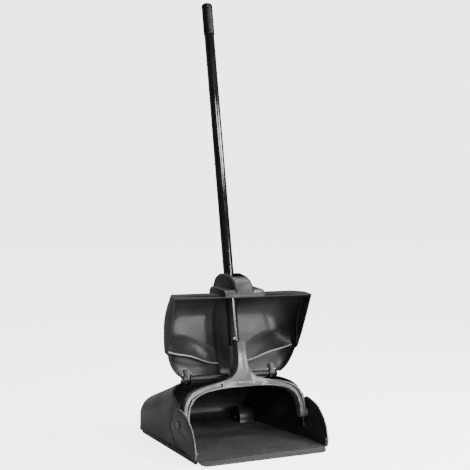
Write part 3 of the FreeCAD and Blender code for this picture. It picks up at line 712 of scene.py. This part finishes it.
def finish(name, dark, light, roughness, grain_scale, bump, dust_share=0.0, scratch_share=0.0,
           stretch=(1.0, 0.06, 1.0), metallic=0.0, coat=0.0, specular=0.5, worn_below=None, painted_shade_band=None):
    material = bpy.data.materials.new(name)
    material.use_nodes = True
    tree = material.node_tree
    shader = tree.nodes["Principled BSDF"]
    place = tree.nodes.new("ShaderNodeTexCoord")
    vector = place.outputs["Object"]
    texture = use_group(tree, grain, vector, Scale=grain_scale)
    colour = mix_colour(tree, texture.outputs["Tone"], dark, light)
    rough = remap(tree, texture.outputs["Tone"], 0.0, 1.0, roughness[0], roughness[1])
    if scratch_share:
        marks = use_group(tree, scratches, vector, Stretch=stretch)
        share = math_node(tree, "MULTIPLY", marks.outputs["Mask"], scratch_share)
        colour = mix_colour(tree, share, colour, grey(0.32))
        rough = math_node(tree, "ADD", rough, math_node(tree, "MULTIPLY", share, 0.2), True)
    if dust_share:
        film = use_group(tree, dust, vector, Normal=place.outputs["Normal"])
        share = math_node(tree, "MULTIPLY", film.outputs["Mask"], dust_share)
        colour = mix_colour(tree, share, colour, grey(0.30, 0.06))
        rough = math_node(tree, "ADD", rough, math_node(tree, "MULTIPLY", share, 0.5), True)
    if worn_below:
        level, share_of_wear = worn_below
        spot = tree.nodes.new("ShaderNodeSeparateXYZ")
        facing = tree.nodes.new("ShaderNodeSeparateXYZ")
        tree.links.new(vector, spot.inputs[0])
        tree.links.new(place.outputs["Normal"], facing.inputs[0])
        low = math_node(tree, "LESS_THAN", spot.outputs["Z"], level)
        flat = math_node(tree, "GREATER_THAN", facing.outputs["Z"], 0.8)
        inside = math_node(tree, "MULTIPLY", low, flat)
        speckle = remap(tree, noise(tree, vector, 430.0, 3.0, 0.75), 0.36, 0.66, 0.1, 1.0)
        wear = math_node(tree, "MULTIPLY", math_node(tree, "MULTIPLY", inside, speckle), share_of_wear)
        colour = mix_colour(tree, wear, colour, grey(0.22))
        rough = math_node(tree, "ADD", rough, math_node(tree, "MULTIPLY", inside, 0.25), True)
    # Painted shade: a band up the cover's channel lowers the specular level, so the channel looks dark as if
    # it were in shade.
    if painted_shade_band:
        half_width, bottom, top = painted_shade_band
        spot = tree.nodes.new("ShaderNodeSeparateXYZ")
        tree.links.new(vector, spot.inputs[0])
        from_middle = math_node(tree, "ABSOLUTE", spot.outputs["X"])
        across = remap(tree, from_middle, half_width, half_width + PAINTED_SHADE_SIDE_FADE, 1.0, 0.0)
        above = remap(tree, spot.outputs["Z"], bottom, bottom + PAINTED_SHADE_END_FADE)
        below = remap(tree, spot.outputs["Z"], top - PAINTED_SHADE_END_FADE, top, 1.0, 0.0)
        band = math_node(tree, "MULTIPLY", across, math_node(tree, "MULTIPLY", above, below))
        taken_off = math_node(tree, "MULTIPLY", band, PAINTED_SHADE_STRENGTH * specular)
        left_over = math_node(tree, "SUBTRACT", specular, taken_off)
        tree.links.new(left_over, shader.inputs["Specular IOR Level"])
    tree.links.new(colour, shader.inputs["Base Color"])
    tree.links.new(rough, shader.inputs["Roughness"])
    relief = tree.nodes.new("ShaderNodeBump")
    relief.inputs["Strength"].default_value = bump
    relief.inputs["Distance"].default_value = 0.12 * MM
    tree.links.new(texture.outputs["Height"], relief.inputs["Height"])
    tree.links.new(relief.outputs["Normal"], shader.inputs["Normal"])
    shader.inputs["Metallic"].default_value = metallic
    shader.inputs["Coat Weight"].default_value = coat
    shader.inputs["Coat Roughness"].default_value = 0.08
    shader.inputs["Specular IOR Level"].default_value = specular
    return material


finishes = {
    # The pan moulding carries the painted shade band up the cover's channel.
    "pan_plastic": finish("satin black moulding", grey(0.009), grey(0.014), (0.36, 0.45), 1500.0, 0.16,
                          dust_share=0.06, scratch_share=0.10, specular=0.42,
                          worn_below=(0.0108, 0.13), painted_shade_band=(0.026, 0.145, 0.306)),
    # Paler, glossier grey for the wavy edge beads and the ear rims: a painted highlight, so they show as
    # bright lines.
    "painted_highlight_edge": finish("rubbed edge", grey(0.10), grey(0.17), (0.16, 0.26), 1500.0, 0.08, specular=0.8),
    "skid_plastic": finish("scuffed runner", grey(0.035), grey(0.060), (0.45, 0.6), 1100.0, 0.4,
                           dust_share=0.1, scratch_share=0.5),
    "wheel_plastic": finish("hard wheel", grey(0.02), grey(0.035), (0.35, 0.5), 1200.0, 0.4,
                            dust_share=0.1, scratch_share=0.35, stretch=(0.3, 1.0, 1.0)),
    "washer_plastic": finish("nylon washer", grey(0.06), grey(0.09), (0.35, 0.45), 1300.0, 0.2),
    "yoke_plastic": finish("grey yoke moulding", grey(0.055), grey(0.085), (0.24, 0.32), 1300.0, 0.16,
                           dust_share=0.05, scratch_share=0.15, stretch=(0.08, 1.0, 1.0)),
    "tube_coating": finish("glossy tube coat", grey(0.005), grey(0.008), (0.12, 0.18), 700.0, 0.05,
                           scratch_share=0.02, stretch=(1.0, 1.0, 0.03), coat=0.35),
    "grip_vinyl": finish("dipped vinyl", grey(0.004), grey(0.007), (0.34, 0.44), 1200.0, 0.12, specular=0.25),
    "pin_steel": finish("zinc plate", grey(0.42), grey(0.62), (0.28, 0.42), 900.0, 0.12, scratch_share=0.3,
                        metallic=1.0),
    "rivet_steel": finish("dull steel", grey(0.14), grey(0.24), (0.38, 0.52), 900.0, 0.2, metallic=1.0),
    "spring_steel": finish("spring steel", grey(0.34), grey(0.5), (0.25, 0.35), 900.0, 0.1, metallic=1.0),
}

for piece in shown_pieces():
    if piece.type == "MESH":
        piece.data.materials.clear()
        # The wavy edge beads and the ear rims take the painted highlight finish.
        painted_highlight = piece.name.startswith(("wavy_edge_bead", "ear_rim"))
        own_slot = piece.get("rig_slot") or slot_of_node.get(piece.name, "pan_plastic")
        piece.data.materials.append(finishes["painted_highlight_edge" if painted_highlight else own_slot])
print("finishes:", sorted(finishes))

# %% [markdown]
# ## Floor, camera and light
# Two flat sheets lie on the floor. The white one is what the viewer sees, so the background stays clean and
# only soft contact shadows show. The grey one is unseen and sends a little light back up at the object, as a
# studio table would.
# A long lens from the height of a seated viewer keeps the tall handle nearly straight.

# %% The white sheet and the grey sheet
def flat_sheet(name, height, tone, emission):
    bpy.ops.object.select_all(action="DESELECT")
    bpy.ops.mesh.primitive_plane_add(size=16.0, location=(0, 0, height))
    sheet = bpy.context.active_object
    sheet.name = name
    paint = bpy.data.materials.new(name.replace("_", " "))
    paint.use_nodes = True
    shader = paint.node_tree.nodes["Principled BSDF"]
    shader.inputs["Base Color"].default_value = (tone, tone, tone, 1)
    shader.inputs["Roughness"].default_value = 0.9
    shader.inputs["Emission Color"].default_value = (0.98, 0.99, 1.0, 1)
    shader.inputs["Emission Strength"].default_value = emission
    sheet.data.materials.append(paint)
    return sheet


white_sheet = flat_sheet("white_sheet", 0, 0.86, 3.6)
white_sheet.visible_diffuse = False
white_sheet.visible_glossy = False
grey_sheet = flat_sheet("grey_sheet", 0.3 * MM, 0.50, 0.12)
grey_sheet.visible_camera = False
grey_sheet.visible_shadow = False

# %% The camera
LOOK_YAW = math.radians(26.851)
LOOK_PITCH = math.radians(-1.994)
LOOK_ROLL = math.radians(0.786)
forward = Vector((math.sin(LOOK_YAW) * math.cos(LOOK_PITCH), math.cos(LOOK_YAW) * math.cos(LOOK_PITCH),
                  math.sin(LOOK_PITCH)))
level_right = Vector((math.cos(LOOK_YAW), -math.sin(LOOK_YAW), 0))
level_up = level_right.cross(forward)
right = level_right * math.cos(LOOK_ROLL) + level_up * math.sin(LOOK_ROLL)
up = level_up * math.cos(LOOK_ROLL) - level_right * math.sin(LOOK_ROLL)
camera_data = bpy.data.cameras.new("camera")
camera_data.lens = 72.48
camera_data.sensor_width = 36.0
camera = bpy.data.objects.new("camera", camera_data)
bpy.context.scene.collection.objects.link(camera)
turn_matrix = Matrix((right, up, -forward)).transposed().to_4x4()
camera.matrix_world = Matrix.Translation(Vector((-0.8974, -1.7860, 0.5070))) @ turn_matrix
bpy.context.scene.camera = camera


# %% Soft boxes and a pale room
def soft_box(name, place, target, size, power):
    data = bpy.data.lights.new(name, "AREA")
    data.shape = "RECTANGLE"
    data.size, data.size_y = size
    data.energy = power
    lamp = bpy.data.objects.new(name, data)
    bpy.context.scene.collection.objects.link(lamp)
    lamp.location = place
    lamp.rotation_euler = (Vector(target) - Vector(place)).to_track_quat("-Z", "Y").to_euler()
    return lamp


soft_box("top box", (0.7, 0.1, 2.3), (0, 0, 0.2), (1.1, 0.9), 40)
soft_box("low strip", (1.5, -1.85, 0.45), (0, 0, 0.35), (0.16, 0.9), 26)
soft_box("bowl box", (0.36, -1.58, 0.50), (0.08, 0.02, 0.23), (0.42, 0.30), 19)
soft_box("left curl box", (0.93, -0.70, 1.23), (-0.10, 0, 0.2), (0.35, 0.35), 20)
soft_box("right curl box", (-0.08, -1.00, 1.42), (0.12, 0, 0.2), (0.40, 0.32), 11)
fill = soft_box("front fill", (-0.5, -2.4, 0.40), (0, 0, 0.08), (1.0, 0.6), 22)
fill.visible_glossy = False

# %% [markdown]
# The room is bright behind the object, dim behind the viewer and dim to the sides, as in a studio with one
# lit wall. Gloss on the sloping sides then picks up the wall, while the faces that look at the viewer stay
# deep black. The viewer sees a plain white room, which matches the white sheet.

# %% The room
room = bpy.data.worlds.new("pale room")
room.use_nodes = True
tree = room.node_tree
direction = tree.nodes.new("ShaderNodeTexCoord")
parts = tree.nodes.new("ShaderNodeSeparateXYZ")
tree.links.new(direction.outputs["Generated"], parts.inputs[0])
behind = remap(tree, parts.outputs["Y"], -0.30, 0.95, 0.04, 0.62)
sideways = math_node(tree, "ABSOLUTE", parts.outputs["X"])
glow = math_node(tree, "MULTIPLY", behind, remap(tree, sideways, 0.20, 0.50, 1.0, 0.30))
seen = tree.nodes.new("ShaderNodeLightPath")
strength = math_node(tree, "MAXIMUM", glow, math_node(tree, "MULTIPLY", seen.outputs["Is Camera Ray"], 3.75))
background = tree.nodes["Background"]
background.inputs["Color"].default_value = (0.95, 0.97, 1.0, 1)
tree.links.new(strength, background.inputs["Strength"])
bpy.context.scene.world = room
